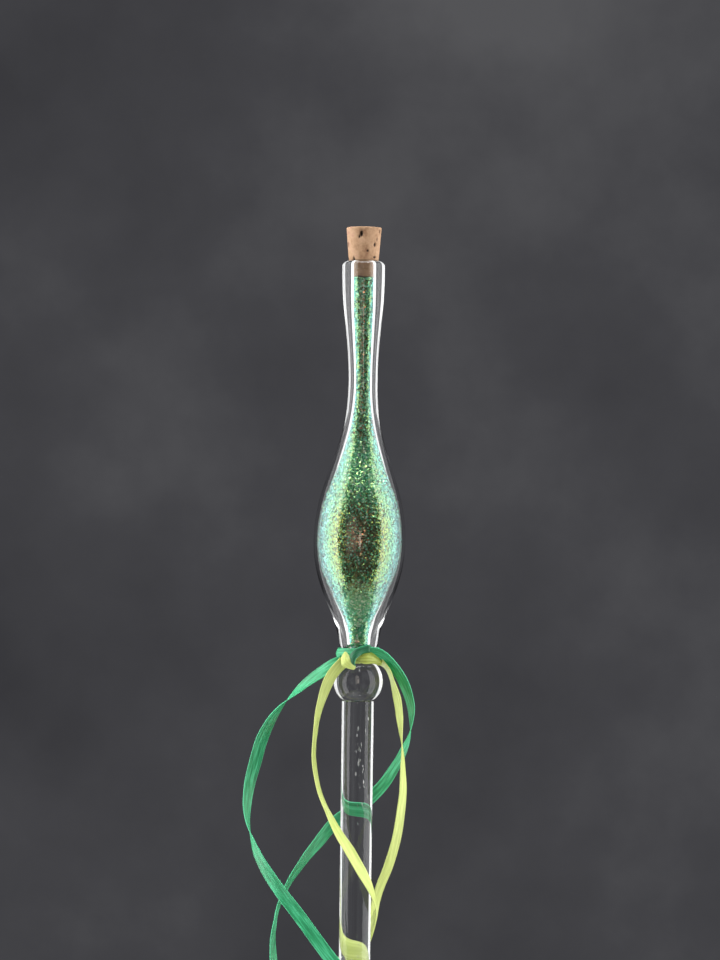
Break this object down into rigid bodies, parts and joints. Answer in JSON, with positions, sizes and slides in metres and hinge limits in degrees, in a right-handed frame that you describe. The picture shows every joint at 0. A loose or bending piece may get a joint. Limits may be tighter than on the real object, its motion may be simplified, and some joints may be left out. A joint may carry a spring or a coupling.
{
  "type": "glitter wand",
  "caption": "Blown glass glitter wand: a corked teardrop vial of iridescent glitter fused to a ball knop and a solid rod handle, with satin ribbons tied round its waist.",
  "frame": {"origin": "lower end of the handle, on the wand's axis", "axes": "+Z along the wand from the handle to the cork; -Y is the side with the ribbons' knots"},
  "size_m": [0.0418, 0.023, 0.25],
  "materials": {
    "glass": "clear, fire-polished",
    "glitter": "iridescent flakes",
    "cork": "natural cork, matt",
    "green_satin": "satin",
    "lime_satin": "satin"
  },
  "bodies": {
    "wand": {"glass_handle": "glass", "glass_knop": "glass", "glass_vial": "glass", "glitter_fill": "glitter"},
    "stopper": {"cork_stopper": "cork"},
    "ribbons": {"green_ribbon_wrap": "green_satin", "green_ribbon_knot": "green_satin", "green_ribbon_left_tail": "green_satin", "green_ribbon_right_tail": "green_satin", "lime_ribbon_wrap": "lime_satin", "lime_ribbon_knot": "lime_satin", "lime_ribbon_left_tail": "lime_satin", "lime_ribbon_right_tail": "lime_satin"}
  },
  "joints": [
    {"name": "cork_pull", "type": "slide", "parent": "wand", "child": "stopper", "axis": [0, 0, 1], "range_m": [0, 0.02]},
    {"name": "ribbon_turn", "type": "hinge", "parent": "wand", "child": "ribbons", "pos_m": [0, 0, 0.1433], "axis": [0, 0, 1], "continuous": true}
  ]
}
